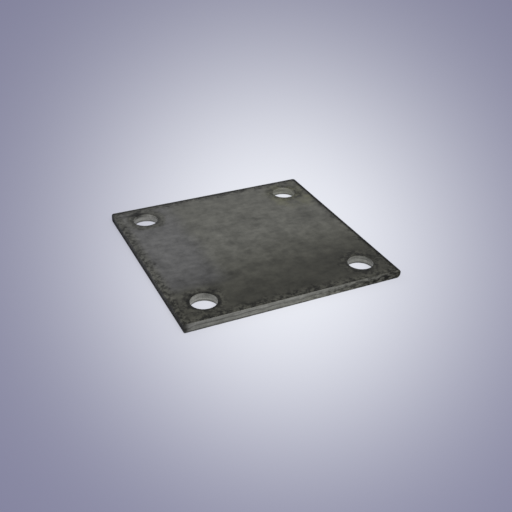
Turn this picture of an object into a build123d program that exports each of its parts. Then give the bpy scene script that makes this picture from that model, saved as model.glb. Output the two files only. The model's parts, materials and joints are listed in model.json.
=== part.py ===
from build123d import *
import os
from math import cos, radians, sin

# Square steel plate with four bolt holes, cropped from 6 x 1/4 in hot-rolled flat bar.
# X runs across the bar, Y along it and Z up. The origin is the centre of the underside. All sizes in mm.

# Bar stock
bar_width = 154.0            # 6 in nominal, rolled to the full side of its tolerance
bar_thickness = 6.35         # 1/4 in
edge_crown = 0.25            # swell of the two rolled edges at mid thickness
right_edge_radius = 2.1      # arris radius of the fuller rolled edge
left_edge_radius = 1.3       # arris radius of the squarer rolled edge

# Cropped ends
cut_length = 151.8           # 6 in nominal, cropped a little short
shear_rollover = 0.6         # arris radius drawn down by the blade
shear_lean = 0.35            # blade clearance: how far the torn part of an end stands out

# Punched holes, for 5/8 in or M16 bolts
hole_diameter = 17.46        # 11/16 in punch
hole_pitch_across = 113.0    # centre to centre along X, a shade under 4 1/2 in
hole_pitch_along = 114.3     # centre to centre along Y, 4 1/2 in
hole_rollover = 0.4          # arris radius where the punch went in
die_clearance = 0.4          # growth of the radius where the slug broke out

# Shared by every cut edge
burnish_share = 0.4          # part of the thickness that the tool cuts clean before the rest tears

tool_overrun = 5.0           # how far a cutting shape runs past the metal


def quarter_arc(centre, radius, start_angle):
    """Quarter circle about centre, from start_angle to 90 degrees further round."""
    points = []
    for angle in (start_angle, start_angle + 45, start_angle + 90):
        points.append((centre[0] + radius * cos(radians(angle)), centre[1] + radius * sin(radians(angle))))
    return ThreePointArc(*points)


def bar_section():
    """Section of the flat bar: flat faces, crowned edges and rounded arrises."""
    half_width = bar_width / 2
    shoulder = half_width - edge_crown
    outline = [
        Line((-shoulder, 0), (shoulder, 0)),
        ThreePointArc((shoulder, 0), (half_width, bar_thickness / 2), (shoulder, bar_thickness)),
        Line((shoulder, bar_thickness), (-shoulder, bar_thickness)),
        ThreePointArc((-shoulder, bar_thickness), (-half_width, bar_thickness / 2), (-shoulder, 0)),
    ]
    section = make_face(Curve() + outline)
    corners = section.vertices().group_by(Axis.X)
    section = fillet(corners[-1], right_edge_radius)
    left_corners = section.vertices().group_by(Axis.X)[0]
    return fillet(left_corners, left_edge_radius)


def bar_stock():
    """Length of flat bar, a little longer than the plate at each end."""
    stock_length = cut_length + 2 * tool_overrun
    return extrude(Plane.XZ * bar_section(), stock_length / 2, both=True)


def front_offcut():
    """What the shear takes off the front end: rollover above, clean cut, then a leaning tear."""
    tear_top = bar_thickness * (1 - burnish_share) - shear_rollover
    outer = -cut_length / 2
    inner = outer + shear_lean
    far = outer - 2 * tool_overrun
    low = -tool_overrun
    high = bar_thickness + tool_overrun
    arc_centre = (inner + shear_rollover, bar_thickness - shear_rollover)
    rollover = quarter_arc(arc_centre, shear_rollover, 90)
    outline = [
        Polyline((arc_centre[0], bar_thickness), (arc_centre[0], high), (far, high), (far, low), (outer, low)),
        Polyline((outer, low), (outer, 0), (inner, tear_top), (inner, arc_centre[1])),
        rollover,
    ]
    profile = Plane.YZ * make_face(Curve() + outline)
    return extrude(profile, bar_width / 2 + tool_overrun, both=True)


def punch():
    """What the punch takes out of one hole, standing on its axis."""
    radius = hole_diameter / 2
    exit_radius = radius + die_clearance
    entry_radius = radius + hole_rollover
    land_top = bar_thickness - hole_rollover
    land_bottom = land_top - burnish_share * bar_thickness
    low = -tool_overrun
    high = bar_thickness + tool_overrun
    rollover = quarter_arc((entry_radius, land_top), hole_rollover, 90)
    outline = [
        Polyline((entry_radius, bar_thickness), (entry_radius, high), (0, high), (0, low), (exit_radius, low)),
        Polyline((exit_radius, low), (exit_radius, 0), (radius, land_bottom), (radius, land_top)),
        rollover,
    ]
    return revolve(Plane.XZ * make_face(Curve() + outline), Axis.Z)


def cover_plate():
    """Bar stock, cropped at both ends and punched. The back end is the front end turned over."""
    front = front_offcut()
    middle = Axis((0, 0, bar_thickness / 2), (1, 0, 0))
    plate = bar_stock() - front - front.rotate(middle, 180)
    hole = punch()
    for place in GridLocations(hole_pitch_across, hole_pitch_along, 2, 2):
        plate -= place * hole
    return plate


os.makedirs("parts", exist_ok=True)
plate = cover_plate()
export_step(plate, "parts/cover_plate.step")
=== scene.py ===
# Square steel cover plate, cropped from hot-rolled flat bar: its looks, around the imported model
import json
import math
import bmesh
import bpy
from mathutils import Matrix, Vector, noise


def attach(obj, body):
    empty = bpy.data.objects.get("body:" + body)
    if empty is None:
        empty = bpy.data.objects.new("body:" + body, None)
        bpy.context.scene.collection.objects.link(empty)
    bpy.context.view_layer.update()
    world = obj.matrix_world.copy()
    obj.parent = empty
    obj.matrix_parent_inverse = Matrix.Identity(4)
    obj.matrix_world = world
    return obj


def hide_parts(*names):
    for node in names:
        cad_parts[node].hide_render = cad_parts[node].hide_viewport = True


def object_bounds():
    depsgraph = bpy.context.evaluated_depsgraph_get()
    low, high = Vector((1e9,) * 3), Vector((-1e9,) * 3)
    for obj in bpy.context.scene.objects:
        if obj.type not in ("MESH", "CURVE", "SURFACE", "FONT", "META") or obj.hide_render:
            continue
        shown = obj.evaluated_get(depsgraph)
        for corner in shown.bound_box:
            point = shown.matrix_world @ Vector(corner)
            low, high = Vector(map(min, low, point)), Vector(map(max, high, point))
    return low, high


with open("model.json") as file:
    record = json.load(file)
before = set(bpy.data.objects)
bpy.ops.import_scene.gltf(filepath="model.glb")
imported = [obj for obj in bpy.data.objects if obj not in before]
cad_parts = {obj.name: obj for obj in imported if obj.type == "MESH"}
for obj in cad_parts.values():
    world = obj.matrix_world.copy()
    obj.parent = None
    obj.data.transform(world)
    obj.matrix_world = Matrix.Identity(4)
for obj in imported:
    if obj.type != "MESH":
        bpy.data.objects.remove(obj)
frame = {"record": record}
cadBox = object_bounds()
mm = 0.001
low = cadBox[0] / mm                # the box that the plate has to stay in, in mm
high = cadBox[1] / mm
halfWidth = high.x
halfLength = high.y
thickness = high.z - low.z
mounts = {mount["name"]: mount["dims"] for mount in frame["record"]["mounts"]}
boreRadius = mounts["bolt_holes"]["hole_r_mm"]
holeX = mounts["bolt_holes"]["spacing_x_mm"] / 2
holeY = mounts["bolt_holes"]["spacing_y_mm"] / 2
print("frame loaded, plate in mm:", [round(side, 2) for side in (2 * halfWidth, 2 * halfLength, thickness)])


camera = dict(
    lens=54.50,
    sensor=36.0,
    azimuth=-25.531,
    elevation=31.162,
    roll=0.906,
    aim=(-4.37, -21.85, 6.35),      # mm
    distance=524.98,                # mm
)

studio = dict(
    worldColour=(0.92, 0.93, 0.97),
    worldStrength=0.55,
    keyPlace=(0.1, -1.5, 1.6),      # m
    keySize=1.2,
    keyWatts=34.0,
    fillPlace=(-1.2, 1.5, 1.5),
    fillSize=1.6,
    fillWatts=8.0,
    floorColour=(0.852, 0.869, 0.925),
    floorEdgeColour=(0.22, 0.22, 0.33),
    floorCentre=(22.0, -1.0),       # mm, across and along the camera's line of sight
    floorFade=137.0,                # mm across, over which the colour dims by two thirds
    floorStretch=2.0,               # the painted pool of light's length over its width
    floorTaper=635.0,               # mm further off for the oval to be twice as wide
    floorGlow=0.75,                 # share of the floor's brightness that no shadow reaches
    floorRadius=6.0,                # m
    floorDrop=0.1,                  # mm below the underside
)


def makeCamera(c):
    aim = Vector(c["aim"]) * mm
    spin = Matrix.Rotation(math.radians(c["azimuth"]), 4, "Z")
    tilt = Matrix.Rotation(math.radians(90 - c["elevation"]), 4, "X")
    roll = Matrix.Rotation(math.radians(c["roll"]), 4, "Z")
    turn = spin @ tilt @ roll
    lens = bpy.data.cameras.new("camera")
    lens.lens = c["lens"]
    lens.sensor_width = c["sensor"]
    lens.clip_start = 0.01
    eye = bpy.data.objects.new("camera", lens)
    eye.matrix_world = Matrix.Translation(aim + turn.to_3x3() @ Vector((0, 0, c["distance"] * mm))) @ turn
    bpy.context.scene.collection.objects.link(eye)
    bpy.context.scene.camera = eye


def makeLamp(name, place, size, watts):
    lamp = bpy.data.lights.new(name, "AREA")
    lamp.shape = "DISK"
    lamp.size = size
    lamp.energy = watts
    holder = bpy.data.objects.new(name, lamp)
    holder.location = place
    holder.rotation_mode = "QUATERNION"
    holder.rotation_quaternion = Vector(place).to_track_quat("Z", "Y")
    bpy.context.scene.collection.objects.link(holder)


class Sock:                         # a socket that can be added, multiplied and compared
    def __init__(self, tree, socket):
        self.tree = tree
        self.socket = socket

    def out(self, name):            # another output of the same node
        return Sock(self.tree, self.socket.node.outputs[name])

    def maths(self, operation, *values):
        node = self.tree.nodes.new("ShaderNodeMath")
        node.operation = operation
        for place, value in zip(node.inputs, values):
            plug(self.tree, place, value)
        return Sock(self.tree, node.outputs[0])

    def __add__(self, other):
        return self.maths("ADD", self, other)

    def __radd__(self, other):
        return self.maths("ADD", other, self)

    def __sub__(self, other):
        return self.maths("SUBTRACT", self, other)

    def __rsub__(self, other):
        return self.maths("SUBTRACT", other, self)

    def __mul__(self, other):
        return self.maths("MULTIPLY", self, other)

    def __rmul__(self, other):
        return self.maths("MULTIPLY", other, self)

    def __truediv__(self, other):
        return self.maths("DIVIDE", self, other)

    def __abs__(self):
        return self.maths("ABSOLUTE", self)

    def atMost(self, other):
        return self.maths("MINIMUM", self, other)

    def atLeast(self, other):
        return self.maths("MAXIMUM", self, other)

    def power(self, other):
        return self.maths("POWER", self, other)


def plug(tree, place, value):
    if isinstance(value, Sock):
        tree.links.new(value.socket, place)
    else:
        place.default_value = value


class Finish:                       # one material, or the world, and its nodes
    def __init__(self, tree):
        self.tree = tree
        tree.nodes.clear()

    def node(self, kind, settings=None, sockets=None, out=0):
        made = self.tree.nodes.new("ShaderNode" + kind)
        for name, value in (settings or {}).items():
            setattr(made, name, value)
        for name, value in (sockets or {}).items():
            plug(self.tree, made.inputs[name], value)
        return Sock(self.tree, made.outputs[out]) if made.outputs else None

    def mix(self, factor, first, second):
        settings = dict(data_type="RGBA", clamp_factor=True)
        return self.node("Mix", settings, {0: factor, 6: first, 7: second}, out=2)

    def step(self, value, start, end, first=0.0, last=1.0):      # eases from first to last
        settings = dict(interpolation_type="SMOOTHSTEP", clamp=True)
        return self.node("MapRange", settings, {0: value, 1: start, 2: end, 3: first, 4: last})

    def vector(self, operation, first, second, out=0):
        return self.node("VectorMath", dict(operation=operation), {0: first, 1: second}, out)

    def length(self, vector):
        return self.vector("LENGTH", vector, (0, 0, 0), out="Value")

    def clouds(self, place, size, seed, detail=2.0, roughness=0.5):  # size in mm, one number or three
        sizes = size if isinstance(size, tuple) else (size, size, size)
        grid = self.vector("DIVIDE", place, sizes)
        settings = dict(noise_dimensions="4D")
        sockets = {"Vector": grid, "W": seed, "Scale": 1.0, "Detail": detail, "Roughness": roughness}
        return self.node("TexNoise", settings, sockets)

    def flecks(self, place, size, seed):    # distance from scattered points, 0 to about 1
        grid = self.vector("DIVIDE", place, (size, size, size))
        settings = dict(voronoi_dimensions="4D")
        return self.node("TexVoronoi", settings, {"Vector": grid, "W": seed, "Scale": 1.0})


def makeFinish(name):
    made = bpy.data.materials.new(name)
    made.use_nodes = True
    return made, Finish(made.node_tree)


def makeFloor(s):
    mesh = bpy.data.meshes.new("floor")
    bm = bmesh.new()
    bmesh.ops.create_circle(bm, cap_ends=True, segments=96, radius=s["floorRadius"])
    bmesh.ops.translate(bm, verts=bm.verts, vec=(0, 0, (low.z - s["floorDrop"]) * mm))
    bm.to_mesh(mesh)
    bm.free()
    floor = bpy.data.objects.new("floor", mesh)
    bpy.context.scene.collection.objects.link(floor)
    made, f = makeFinish("floorPaint")
    place = f.vector("DIVIDE", f.node("TexCoord", out="Object"), (mm, mm, mm))
    sight = math.radians(camera["azimuth"])
    acrossWay = (math.cos(sight), math.sin(sight), 0)
    alongWay = (-math.sin(sight), math.cos(sight), 0)
    across = f.vector("DOT_PRODUCT", place, acrossWay, out="Value") - s["floorCentre"][0]
    along = f.vector("DOT_PRODUCT", place, alongWay, out="Value") - s["floorCentre"][1]
    # the floor's colour is a painted pool of light: pale in an oval round the plate, dimming to the edge
    # colour
    taper = (1.0 + along / s["floorTaper"]).atLeast(0.25) * s["floorFade"]
    oval = f.node("CombineXYZ", sockets={0: across / taper, 1: along / s["floorStretch"] / taper})
    away = f.length(oval)
    paintedLightPool = f.node("Math", dict(operation="EXPONENT"), {0: away * away * -1.0})
    colour = f.mix(paintedLightPool, (*s["floorEdgeColour"], 1), (*s["floorColour"], 1))
    path = f.node("LightPath", out="Is Camera Ray")
    seen = path.atLeast(path.out("Is Glossy Ray")).atLeast(path.out("Is Transmission Ray"))
    lit = f.node("BsdfDiffuse", sockets={"Color": colour})
    glow = f.node("Emission", sockets={"Color": colour, "Strength": 1.0})
    both = f.node("MixShader", sockets={0: seen * s["floorGlow"], 1: lit, 2: glow})
    f.node("OutputMaterial", sockets={"Surface": both})
    mesh.materials.append(made)


def makeWorld(s):
    world = bpy.data.worlds.new("studio")
    world.use_nodes = True
    bpy.context.scene.world = world
    f = Finish(world.node_tree)
    sky = f.node("Background", sockets={"Color": (*s["worldColour"], 1), "Strength": s["worldStrength"]})
    f.node("OutputWorld", sockets={"Surface": sky})


makeCamera(camera)
makeLamp("key", studio["keyPlace"], studio["keySize"], studio["keyWatts"])
makeLamp("fill", studio["fillPlace"], studio["fillSize"], studio["fillWatts"])
makeFloor(studio)
makeWorld(studio)
bpy.context.scene.view_settings.view_transform = "Standard"
print("camera, lamps and floor made")


plateForm = dict(                   # lengths in mm
    edgeCrown=0.25,                 # swell of the rolled edges at mid thickness
    rightUpperArris=3.0,            # radius of the fuller rolled edge
    rightLowerArris=2.9,
    leftUpperArris=1.3,
    leftLowerArris=0.6,
    shearRollover=0.6,              # radius that the blade drew down on a cut end
    shearLean=0.35,                 # how far the torn part of a cut end stands out
    holeRollover=0.4,
    dieClearance=0.4,               # growth of a hole's radius where the slug broke out
    burnishShare=0.4,               # part of the thickness that the tool cut clean
    softening=0.15,                 # wear on the arrises that were left sharp
    cornerRounding=0.5,
    tearWander=0.55,                # how far the clean cut's lower edge strays up and down
    tearGroove=0.12,                # depth of the crack that runs along it
    crackWidth=0.42,
    tearRoughness=0.16,
    scoring=0.05,                   # waviness of the clean cut
    holeRelief=0.6,                 # how rough the holes are, against the cut ends
    holeRim=1.0,                    # what counts as a hole's wall and rim, beyond its radius
    endRim=1.5,                     # what counts as a cut end, from the box
    dishDepth=0.10,                 # how far the punch drew the face down round a hole
    dishReach=2.6,
    faceWaves=0.04,
    pitDepth=0.07,
    borderPits=0.09,                # scale that broke up along the plate's edges
    borderReach=7.0,
    edgeRoughness=0.07,             # on the rolled edges
    windowReach=14.0,               # from a hole's axis to the side of the window cut round it
    windowCells=28,                 # grid cells along a side of that window
    middleCells=72,                 # grid cells between two windows
    rimCells=8,                     # grid cells from a window to the plate's edge
    dishRings=8,
    dishPacking=1.4,                # over 1 packs those rings at the hole
    levels=40,                      # rings from the underside to the top face
    evenLevels=0.15,                # 0 packs the levels at the two faces, 1 spaces them evenly
)


def arris(depth, radius):           # how far a rounded arris stands in, at a depth below its face
    return radius - math.sqrt(radius ** 2 - (radius - depth) ** 2) if depth < radius else 0.0


def rolledIn(p, height, upper, lower):     # how far a rolled edge stands in from the box
    middle = thickness / 2
    crown = p["edgeCrown"] * ((height - middle) / middle) ** 2
    return crown + arris(thickness - height, upper) + arris(height, lower)


def tearHeight(p):                  # where the clean cut ends and the tear starts, on the front end
    return thickness * (1 - p["burnishShare"]) - p["shearRollover"]


def cutIn(p, height):               # how far the front end stands in
    lean = p["shearLean"] * min(height / tearHeight(p), 1)
    return lean + arris(thickness - height, p["shearRollover"]) + arris(height, p["softening"])


def boreTearHeight(p):
    return thickness * (1 - p["burnishShare"]) - p["holeRollover"]


def boreOut(p, height):             # a hole's radius
    growth = p["dieClearance"] * max(1 - height / boreTearHeight(p), 0)
    return boreRadius + growth + arris(thickness - height, p["holeRollover"]) + arris(height, p["softening"])


def levelHeight(p, level):
    share = level / p["levels"]
    packed = (1 - math.cos(math.pi * share)) / 2
    return thickness * (p["evenLevels"] * share + (1 - p["evenLevels"]) * packed)


def evenSteps(start, end, count):
    return [start + (end - start) * k / count for k in range(count)]


def gridLines(p, hole, start, end):     # where the grid's lines cross one side of the plate
    reach = p["windowReach"]
    cells = p["windowCells"]
    window = [reach * math.tan(math.radians(45 * (2 * k / cells - 1))) for k in range(cells)]
    lines = evenSteps(start, -hole - reach, p["rimCells"])
    lines += [w - hole for w in window]
    lines += evenSteps(-hole + reach, hole - reach, p["middleCells"])
    lines += [w + hole for w in window]
    return lines + evenSteps(hole + reach, end, p["rimCells"]) + [end]


def makeShell(p):                   # both faces and the four sides, counted in grid cells
    cells = 2 * (p["rimCells"] + p["windowCells"]) + p["middleCells"]
    bm = bmesh.new()
    for level in (0, p["levels"]):
        sheet = bmesh.ops.create_grid(bm, x_segments=cells, y_segments=cells, size=cells / 2)["verts"]
        bmesh.ops.translate(bm, verts=sheet, vec=(cells / 2, cells / 2, level))
    rim = [e for e in bm.edges if e.is_boundary and e.verts[0].co.z > 0.5]
    for _ in range(p["levels"]):
        grown = bmesh.ops.extrude_edge_only(bm, edges=rim)["geom"]
        rim = [g for g in grown if isinstance(g, bmesh.types.BMEdge)]
        bmesh.ops.translate(bm, verts=[g for g in grown if isinstance(g, bmesh.types.BMVert)], vec=(0, 0, -1))
    bmesh.ops.remove_doubles(bm, verts=bm.verts, dist=0.01)
    first = p["rimCells"]
    last = first + p["windowCells"]

    def inWindow(cell):
        return first < cell < last or first < cells - cell < last

    opened = []
    for face in bm.faces:
        middle = face.calc_center_median()
        if middle.z in (0, p["levels"]) and inWindow(middle.x) and inWindow(middle.y):
            opened.append(face)
    bmesh.ops.delete(bm, geom=opened, context="FACES")
    return bm


def sizeShell(bm, p):               # from grid cells to the plate's own section and outline
    columns = []
    rows = []
    heights = []
    for level in range(p["levels"] + 1):
        z = levelHeight(p, level)
        left = -halfWidth + rolledIn(p, z, p["leftUpperArris"], p["leftLowerArris"])
        right = halfWidth - rolledIn(p, z, p["rightUpperArris"], p["rightLowerArris"])
        front = -halfLength + cutIn(p, z)
        back = halfLength - cutIn(p, thickness - z)
        columns.append(gridLines(p, holeX, left, right))
        rows.append(gridLines(p, holeY, front, back))
        heights.append(z)
    radius = p["cornerRounding"]
    for v in bm.verts:
        column, row, level = (round(c) for c in v.co)
        x = columns[level][column]
        y = rows[level][row]
        centreX = columns[level][0] + radius if x < 0 else columns[level][-1] - radius
        centreY = rows[level][0] + radius if y < 0 else rows[level][-1] - radius
        outX = max((x - centreX) * math.copysign(1, x), 0)
        outY = max((y - centreY) * math.copysign(1, y), 0)
        away = math.hypot(outX, outY)
        if outX > 0 and outY > 0 and away > radius:
            x = centreX + math.copysign(outX * radius / away, x)
            y = centreY + math.copysign(outY * radius / away, y)
        v.co = (x, y, heights[level])


def addBore(bm, p, axisX, axisY):   # one hole, and both faces round it out to its window
    shares = [(k / p["dishRings"]) ** p["dishPacking"] for k in range(p["dishRings"] + 1)]
    rings = [(0, share) for share in reversed(shares)]
    rings += [(levelHeight(p, level), 0) for level in range(1, p["levels"])]
    rings += [(thickness, share) for share in shares]
    turned = Matrix.Translation((axisX, axisY, 0))
    sides = 4 * p["windowCells"]
    ring = bmesh.ops.create_circle(bm, segments=sides, radius=boreRadius, matrix=turned)["verts"]
    edges = {e for v in ring for e in v.link_edges}
    for index, (z, share) in enumerate(rings):
        if index > 0:
            grown = bmesh.ops.extrude_edge_only(bm, edges=list(edges))["geom"]
            ring = [g for g in grown if isinstance(g, bmesh.types.BMVert)]
            edges = [g for g in grown if isinstance(g, bmesh.types.BMEdge)]
        radius = boreOut(p, z)
        for v in ring:
            turn = math.atan2(v.co.y - axisY, v.co.x - axisX)
            side = p["windowReach"] / max(abs(math.cos(turn)), abs(math.sin(turn)))
            away = radius + share * (side - radius)
            v.co = (axisX + away * math.cos(turn), axisY + away * math.sin(turn), z)


def blotch(place, size, seed):      # 0 to 1, in blotches about size mm across
    sizes = size if isinstance(size, tuple) else (size, size, size)
    spot = Vector((place.x / sizes[0], place.y / sizes[1], place.z / sizes[2] + 17.3 * seed))
    return min(max(0.5 + 0.62 * noise.noise(spot), 0), 1)


def ease(value, start, end):
    share = min(max((value - start) / (end - start), 0), 1)
    return share * share * (3 - 2 * share)


def cutMarks(p, along, depth, tearDepth, seed):
    # what a tool left at a depth below the face it entered: relief, bare metal, tear, crack
    wander = 2 * blotch(along, 7.0, seed) - 1 + 0.5 * (2 * blotch(along, 2.2, seed + 1) - 1)
    line = tearDepth + p["tearWander"] * wander
    tear = ease(depth, line - 0.1, line + 0.35)
    crack = math.exp(-((depth - line) / p["crackWidth"]) ** 2)
    coarse = blotch(along, (2.0, 2.0, 1.1), seed + 2) * blotch(along, (1.3, 1.3, 0.8), seed + 3)
    scored = blotch(along, (2.4, 2.4, 30.0), seed + 4)
    cut = p["scoring"] * scored * (1 - tear) + 2 * p["tearRoughness"] * coarse * tear
    return cut + p["tearGroove"] * crack * blotch(along, 5.0, seed + 5), tear, crack


def weather(bm, p):                 # inward relief, and where the cut metal lies bare
    marks = bm.verts.layers.float_color.new("cutMarks")
    bm.normal_update()
    moves = []
    for v in bm.verts:
        place = v.co.copy()
        facing = v.normal.copy()
        gapX = halfWidth - abs(place.x)
        gapY = halfLength - abs(place.y)
        away = math.hypot(abs(place.x) - holeX, abs(place.y) - holeY)
        level = abs(facing.z) ** 3
        onTop = place.z > thickness / 2
        border = ease(p["borderReach"] * (0.6 + 0.8 * blotch(place, 11.0, 1)) - min(gapX, gapY), 0, 3)
        relief = p["faceWaves"] * (0.6 * blotch(place, 16.0, 2) + 0.4 * blotch(place, 6.0, 3))
        relief += p["pitDepth"] * ease(blotch(place, 2.6, 4), 0.62, 0.8)
        relief += p["borderPits"] * border * blotch(place, 1.7, 5)
        if onTop:
            relief += p["dishDepth"] * ease(boreRadius + p["dishReach"] - away, 0, p["dishReach"])
        relief *= level
        bare = tear = crack = 0
        across = 1 - level
        if away < boreRadius + p["holeRim"]:
            depth = thickness - place.z
            tearDepth = thickness - boreTearHeight(p)
            bare = ease(depth, 0.1, 0.6)
            cut, tear, crack = cutMarks(p, place, depth, tearDepth, 6)
            relief += across * p["holeRelief"] * cut
        elif gapY < p["endRim"] and abs(facing.y) > abs(facing.x):
            depth = thickness - place.z if place.y < 0 else place.z
            tearDepth = thickness - tearHeight(p)
            bare = ease(depth, 0.0, 0.7)
            cut, tear, crack = cutMarks(p, place, depth, tearDepth, 16 if place.y < 0 else 26)
            relief += across * cut
        else:
            streak = blotch(place, (1.5, 16.0, 1.5), 7)
            relief += across * p["edgeRoughness"] * (streak + 0.5 * blotch(place, 1.6, 8))
        v[marks] = (bare, tear, crack, 1)
        moves.append((v, place - facing * relief))
    for v, place in moves:
        v.co = place


def makePlate(p):
    bm = makeShell(p)
    sizeShell(bm, p)
    for axisX in (-holeX, holeX):
        for axisY in (-holeY, holeY):
            addBore(bm, p, axisX, axisY)
    bmesh.ops.remove_doubles(bm, verts=bm.verts, dist=0.001)
    bmesh.ops.recalc_face_normals(bm, faces=bm.faces)
    weather(bm, p)
    bmesh.ops.scale(bm, verts=bm.verts, vec=(mm, mm, mm))
    openEdges = sum(1 for e in bm.edges if not e.is_manifold)
    for face in bm.faces:
        face.smooth = True
    mesh = bpy.data.meshes.new("coverPlate")
    bm.to_mesh(mesh)
    print("plate mesh:", len(bm.faces), "faces,", openEdges, "open edges")
    bm.free()
    made = bpy.data.objects.new("coverPlate", mesh)
    bpy.context.scene.collection.objects.link(made)
    return made


plate = makePlate(plateForm)
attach(plate, "root")
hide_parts("cover_plate")


scaleFinish = dict(                 # a tone is a share of the light, a fade runs in mm from none to full
    faceTone=0.112,
    mottle=(0.28, 1.00, 0.60, 0.60, 0.36, 0.15),    # strength of the clouds, wide to fine
    frontTone=0.36,                 # how much of the tone the painted shade leaves at the front
    frontFade=(-63.0, 12.0),        # along the plate, from dark to light
    frontSlant=0.14,                # how much sooner the painted shade sets in on the right
    borderTone=0.45,                # where the scale is broken
    frontBorderTone=0.80,
    borderFade=(9.0, 2.5),          # from a side
    cornerFade=(17.0, 12.0),        # from a hole's axis
    cornerShare=0.8,                # how broken the scale is round the holes
    speckles=(0.5, 1.75),           # darkest and lightest grains of broken scale
    chipSize=6.0,                   # mm
    chipTone=1.3,                   # how much lighter a chip is
    frontLine=0.45,                 # how much darker the arris along the front is
    frontLineFade=(1.4, 0.4),
    backLine=0.72,
    backLineFade=(3.2, 1.6),
    ring=0.30,                      # how much darker the rim of a hole is: dark scale, partly painted shade of the rolled-over rim
    frontLeftRing=0.34,             # and how much more at the front left
    ringFade=(3.2, 1.2),            # from the hole's wall
    leftRolledTone=0.30,            # on the rolled edges: partly their dark scale, partly painted shade where little light reaches the sides
    leftRolledFade=(-75.6, -76.4),  # across the plate
    leftRolledDepth=(0.0, 3.5),     # below the top face
    rightRolledTone=0.15,
    rightRolledFade=(72.0, 74.2),
    smudges=[                       # place, reach across and along in mm, how much darker
        (-27.5, 37.2, 6.0, 5.0, 0.16), (18.3, 25.3, 3.6, 3.0, 0.30), (15.0, 17.5, 4.0, 3.0, 0.12),
        (-6.7, -14.2, 3.6, 4.6, 0.22), (-25.0, -36.7, 5.5, 5.0, 0.22), (-38.0, -11.0, 4.0, 9.0, 0.15),
        (13.0, -67.0, 8.0, 7.0, 0.20), (-25.0, -12.0, 6.0, 7.0, 0.16), (-13.0, 1.5, 4.5, 4.0, 0.12),
        (54.0, 17.0, 12.0, 11.0, 0.22), (38.0, -48.0, 24.0, 13.0, 0.16), (-33.0, 30.0, 14.0, 8.0, 0.07),
        (24.0, 34.0, 8.0, 4.0, -0.14), (-16.0, 6.0, 4.0, 4.0, -0.14), (35.0, -16.5, 2.2, 2.0, -0.24),
        (1.5, -28.0, 3.4, 5.0, -0.16), (10.0, 9.0, 11.0, 9.0, -0.08), (43.0, -7.0, 13.0, 9.0, -0.07),
    ],
    rimSmudges=[                    # dark marks on the rims of the holes, and a little way down them, partly painted shade of the rolled-over rims
        (-61.0, 66.6, 7.5, 3.8, 0.72), (-49.0, -49.0, 6.0, 5.0, 0.42), (66.0, 50.0, 3.5, 4.5, 0.35),
        (52.5, -66.5, 8.0, 3.2, 0.42), (66.5, -53.0, 3.5, 6.0, 0.40), (-66.0, -53.0, 2.6, 5.0, 0.35),
    ],
    smudgeStrength=1.2,
    smudgeFade=(0.2, 1.3),          # from full to none, in shares of the reach
    smudgeWaves=0.16,               # in a mm of the ragged outline of smudges, painted rim shade and moss
    smudgeShift=9.0,                # mm, how ragged it is
    rimSmudgeFade=(3.2, 1.2),       # depth in a hole
    olive=(1.01, 1.0, 0.87),
    frontOlive=(1.03, 1.01, 0.80),
    blueGrey=(1.0, 0.99, 0.97),     # a patch on the left
    blueGreyAcross=(-26.0, -44.0),
    blueGreyAlong=(-48.0, -34.0),
    blueGreyInset=(2.0, 9.0),       # from the sides
    moss=(1.03, 1.02, 0.70),        # a stain round the back right hole
    mossPlace=(62.0, 52.0),         # mm
    mossReach=26.0,
    bareTone=0.205,                 # cut metal
    bareTint=(1.02, 1.01, 0.88),
    wallTone=1.5,                   # in the holes on the left, against the cut ends
    rightWallTone=0.74,             # in the holes on the right, against those on the left
    crackShade=0.22,                # painted shadow in the crack: how much darker it is in the holes
    endCrackShade=0.26,             # and how much more on the cut ends
    tarnishShade=0.72,              # how much darker the cut ends get towards the right
    tarnishTint=(1.02, 1.0, 0.80),
    tarnishFade=(0.0, 85.0),        # across the plate
    tarnishSpots=(0.30, 1.75),      # darkest and lightest
    footShade=0.62,                 # painted shade: how much darker the far, lower edge of a cut is
    footFade=(4.6, 6.2),            # below the top face
    tipShade=0.78,                  # painted shade: how much darker both tips of a cut end are, where it turns into a side
    leftTipFade=(-73.0, -76.0),     # across the plate
    rightTipFade=(72.0, 74.5),
    metallic=0.25,
    bareMetallic=0.75,
    roughness=0.46,
    bareRoughness=0.40,
    rolledRoughness=0.85,
    specular=0.2,
    bumpStrength=0.6,
    bumpHeight=0.04,                # mm
)


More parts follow.
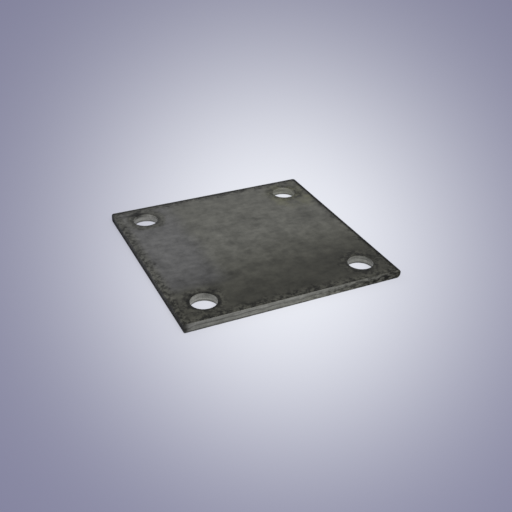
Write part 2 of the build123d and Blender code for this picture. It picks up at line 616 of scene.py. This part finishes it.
def millScale(s):
    made, f = makeFinish("millScaleSteel")
    place = f.vector("DIVIDE", f.node("TexCoord", out="Object"), (mm, mm, mm))
    x = f.node("SeparateXYZ", sockets={0: place})
    y = x.out("Y")
    z = x.out("Z")
    marks = f.node("SeparateColor", sockets={0: f.node("Attribute", dict(attribute_name="cutMarks"))})
    bareness = marks.out("Red")
    tear = marks.out("Green")
    crack = marks.out("Blue")
    gapX = halfWidth - abs(x)
    gapY = halfLength - abs(y)
    gap = gapX.atMost(gapY)
    depth = thickness - z
    away = f.length(f.node("CombineXYZ", sockets={0: abs(x) - holeX, 1: abs(y) - holeY}))
    outside = f.step(away, boreRadius + 1.0, boreRadius + 2.0)      # 0 in the holes

    wide = f.clouds(place, 34.0, 1.0)
    medium = f.clouds(place, 9.0, 2.0, detail=3.0)
    small = f.clouds(place, 3.6, 8.0, detail=2.0)
    drawn = f.clouds(place, (9.0, 3.6, 9.0), 11.0, detail=2.0)      # drawn out across the bar
    fine = f.clouds(place, 1.5, 3.0, detail=3.0, roughness=0.6)
    grain = f.clouds(place, 0.45, 4.0)
    broken = f.clouds(place, 2.6, 9.0, detail=2.0, roughness=0.6)
    tone = 1.0
    for cloud, strength in zip((wide, medium, small, drawn, fine, grain), s["mottle"]):
        tone = tone + strength * (cloud - 0.5)
    # painted shade: the top face darkens towards the front, in place of a reflection's falloff
    slope = y - s["frontSlant"] * x + 16.0 * (wide - 0.5) + 14.0 * (medium - 0.5)
    lit = f.step(slope, *s["frontFade"])
    tone = tone * (s["frontTone"] + (1.0 - s["frontTone"]) * lit)

    waves = {"Vector": place, "Scale": s["smudgeWaves"], "Detail": 2.0}
    blur = f.node("TexNoise", sockets=waves, out="Color")
    shift = f.vector("SUBTRACT", blur, (0.5, 0.5, 0.5))
    shifted = f.vector("ADD", place, f.vector("MULTIPLY", shift, (s["smudgeShift"], s["smudgeShift"], 0)))

    def smudgedAndShadedShare(spots):             # the share of the tone that smudges and painted rim shade leave
        left = 1.0
        for spotX, spotY, reachX, reachY, darker in spots:
            offset = f.vector("SUBTRACT", shifted, (spotX, spotY, 0))
            oval = f.vector("MULTIPLY", offset, (1 / reachX, 1 / reachY, 0))
            darkest = 1.0 - s["smudgeStrength"] * darker
            left = left * f.step(f.length(oval), *s["smudgeFade"], darkest, 1.0)
        return left

    # dark marks and painted shade round the hole rims, fading down the walls
    rimDirtAndShade = 1.0 - (1.0 - smudgedAndShadedShare(s["rimSmudges"])) * f.step(depth, *s["rimSmudgeFade"])
    tone = tone * smudgedAndShadedShare(s["smudges"]) * rimDirtAndShade

    # broken scale along the sides and round the holes, sharper under the painted shade at the front
    corner = f.step(away + 8.0 * (medium - 0.5), *s["cornerFade"])
    border = f.step(gap + 9.0 * (medium - 0.5) + 7.0 * (small - 0.5), *s["borderFade"])
    border = border.atLeast(corner * s["cornerShare"])
    speckle = f.step(broken + 0.25 * (fine - 0.5), 0.38, 0.62, *s["speckles"])
    speckle = speckle + s["chipTone"] * f.step(f.flecks(place, s["chipSize"], 10.0), 0.13, 0.06)
    speckle = speckle.power(1.3 - 0.3 * lit)
    borderTone = s["frontBorderTone"] + (s["borderTone"] - s["frontBorderTone"]) * lit
    tone = tone * (1.0 - border + border * speckle * borderTone)

    # dark lines along the ends, and dark rims round the holes that are partly painted shade, less so under
    # the moss
    frontLine = f.step(gapY + 0.8 * (fine - 0.5), *s["frontLineFade"])
    frontLine = frontLine * f.step(y, 0.0, -1.0, 0.0, s["frontLine"]) * outside
    backLine = f.step(gapY + 0.9 * (small - 0.5), *s["backLineFade"])
    backLine = backLine * f.step(y, 0.0, 1.0, 0.0, s["backLine"])
    mossGap = f.length(f.vector("SUBTRACT", shifted, (*s["mossPlace"], thickness)))
    mossy = f.step(mossGap, s["mossReach"], 0.5 * s["mossReach"]) * f.step(medium, 0.3, 0.6)
    rim = away - boreRadius + 2.6 * (small - 0.5) + 1.4 * (medium - 0.5)
    frontLeft = f.step(x, 20.0, -20.0) * f.step(y, 20.0, -20.0)
    ring = f.step(rim, *s["ringFade"]) * (s["ring"] + s["frontLeftRing"] * frontLeft) * (1.0 - 0.6 * mossy)
    tone = tone * (1.0 - ring.atLeast(frontLine).atLeast(backLine))

    leftSide = f.step(x, *s["leftRolledFade"]) * f.step(depth + 2.0 * (small - 0.5), *s["leftRolledDepth"])
    rightSide = f.step(x + 1.2 * (small - 0.5), *s["rightRolledFade"])
    rolled = leftSide.atLeast(rightSide)
    # painted shade on the rolled sides, on top of their dark scale
    tone = tone * (1.0 - (1.0 - s["leftRolledTone"]) * leftSide)
    tone = tone * (1.0 - (1.0 - s["rightRolledTone"]) * rightSide)
    faceTone = tone * s["faceTone"]

    # cut metal: long streaks, the tool's upright scores, then the torn grain
    streak = f.clouds(place, (18.0, 18.0, 0.9), 5.0, detail=3.0)
    scores = f.clouds(place, (0.35, 0.35, 6.0), 6.0, detail=2.0)
    torn = f.clouds(place, 0.8, 7.0, detail=3.0, roughness=0.65)
    cutTone = 1.0 + 1.5 * (streak - 0.5) + 0.8 * (small - 0.5)
    cutTone = cutTone + 0.6 * (scores - 0.5) * (1.0 - tear) + 0.7 * (torn - 0.5) * tear
    # painted shadow along the crack where the clean cut meets the tear
    cutTone = cutTone * (1.0 - (s["crackShade"] + s["endCrackShade"] * outside) * crack) * rimDirtAndShade
    # darker towards the right and deeper down the cut ends, with a yellower tint and spots
    rightwardCourse = x + 8.0 * (depth - 1.5) + 30.0 * (medium - 0.5) + 60.0 * (broken - 0.5)
    rightwardDarkening = f.step(rightwardCourse, *s["tarnishFade"]) * outside
    # painted shade along the lower edge of the cut ends and the hole walls
    foot = f.step(depth + 0.8 * (fine - 0.5), *s["footFade"])
    # painted shade at both tips of a cut end
    leftTip = f.step(x + 2.0 * (small - 0.5), *s["leftTipFade"])
    rightTip = f.step(x + 1.5 * (small - 0.5), *s["rightTipFade"])
    tips = leftTip.atLeast(rightTip) * outside
    shade = (s["tarnishShade"] * rightwardDarkening).atLeast(s["footShade"] * foot).atLeast(s["tipShade"] * tips)
    wall = f.step(x, -20.0, 20.0, s["wallTone"], s["wallTone"] * s["rightWallTone"])
    cutTone = cutTone * (1.0 - shade) * (outside + (1.0 - outside) * wall)
    spotty = f.clouds(place, (4.2, 4.2, 1.7), 12.0) + 0.25 * (fine - 0.5)
    spots = f.step(spotty, 0.40, 0.60, *s["tarnishSpots"])
    bareTone = cutTone * (1.0 - rightwardDarkening + rightwardDarkening * spots) * s["bareTone"]

    bare = f.step(bareness + 0.5 * (fine - 0.5) + 0.3 * (grain - 0.5), 0.35, 0.65)
    grey = faceTone + (bareTone - faceTone) * bare
    greyed = f.step(x + 14.0 * (wide - 0.5), *s["blueGreyAcross"]) * f.step(y, *s["blueGreyAlong"])
    greyed = greyed * f.step(gap, *s["blueGreyInset"]) * (1.0 - corner)
    tint = f.mix(lit, (*s["frontOlive"], 1), (*s["olive"], 1))
    tint = f.mix(greyed, tint, (*s["blueGrey"], 1))
    tint = f.mix(bare, tint, f.mix(rightwardDarkening, (*s["bareTint"], 1), (*s["tarnishTint"], 1)))
    tint = f.mix(mossy * (1.0 - 0.6 * bare), tint, (*s["moss"], 1))
    colour = f.node("VectorMath", dict(operation="SCALE"), {0: tint, "Scale": grey.atLeast(0.004)})

    rough = s["roughness"] + 0.16 * (medium - 0.5) + 0.18 * border * (fine - 0.5)
    rough = rough + (s["bareRoughness"] - rough) * bare
    rough = rough + (s["rolledRoughness"] - rough) * rolled
    metallic = s["metallic"] * (1.0 - rolled) + (s["bareMetallic"] - s["metallic"]) * bare
    height = 0.6 * fine + 0.4 * grain + 0.8 * border * fine + bare * (0.5 * scores + tear * torn)
    reach = s["bumpHeight"] * mm
    bump = f.node("Bump", sockets={"Strength": s["bumpStrength"], "Distance": reach, "Height": height})
    skin = f.node("BsdfPrincipled", sockets={
        "Base Color": colour, "Metallic": metallic, "Roughness": rough, "Normal": bump,
        "Specular IOR Level": s["specular"]})
    f.node("OutputMaterial", sockets={"Surface": skin})
    return made


plate.data.materials.append(millScale(scaleFinish))
print("mill scale and cut steel finished")
